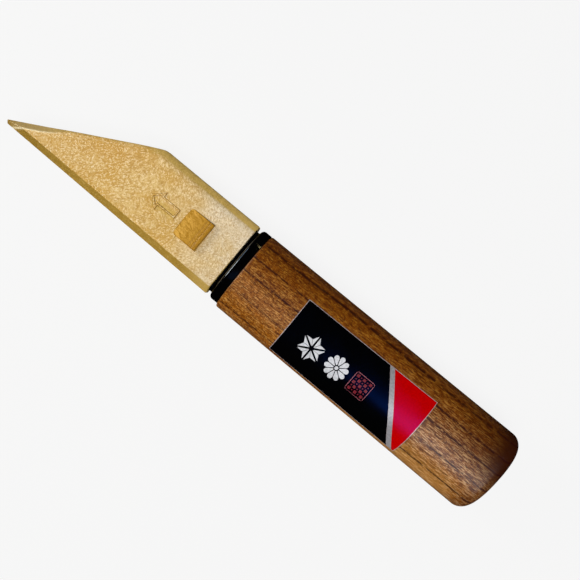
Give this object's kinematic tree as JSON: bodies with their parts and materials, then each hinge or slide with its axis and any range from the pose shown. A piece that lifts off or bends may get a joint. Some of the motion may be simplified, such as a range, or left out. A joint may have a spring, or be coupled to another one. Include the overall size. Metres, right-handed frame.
{
  "type": "skiving knife",
  "caption": "Single-bevel slanted-edge craft knife with an oval wood handle, moulded ferrule and pull-off cap shaped like the blade.",
  "frame": {"origin": "under the middle of the whole knife, on the surface that the handle's underside rests on", "axes": "+X along the knife to the blade's tip, +Y to the blade's spine, +Z out of the labelled face"},
  "size_m": [0.1926, 0.03, 0.0175],
  "materials": {
    "cap_plastic": "fine mottled satin, smooth bevels",
    "ferrule_plastic": "gloss",
    "handle_wood": "thin satin varnish over open pores",
    "label_foil": "gloss printed foil",
    "blade_iron": "satin, dark forge skin",
    "blade_steel": "ground bright",
    "bedding_resin": "rough cast"
  },
  "bodies": {
    "knife": {"handle": "handle_wood", "ferrule": "ferrule_plastic", "label": "label_foil", "blade_iron_body": "blade_iron", "blade_steel_edge": "blade_steel", "tang_bedding": "bedding_resin"},
    "cap": {"sheath_cap": "cap_plastic"}
  },
  "joints": [
    {"name": "cap_slide", "type": "slide", "parent": "knife", "child": "cap", "axis": [1, 0, 0], "range_m": [0, 0.09]}
  ]
}
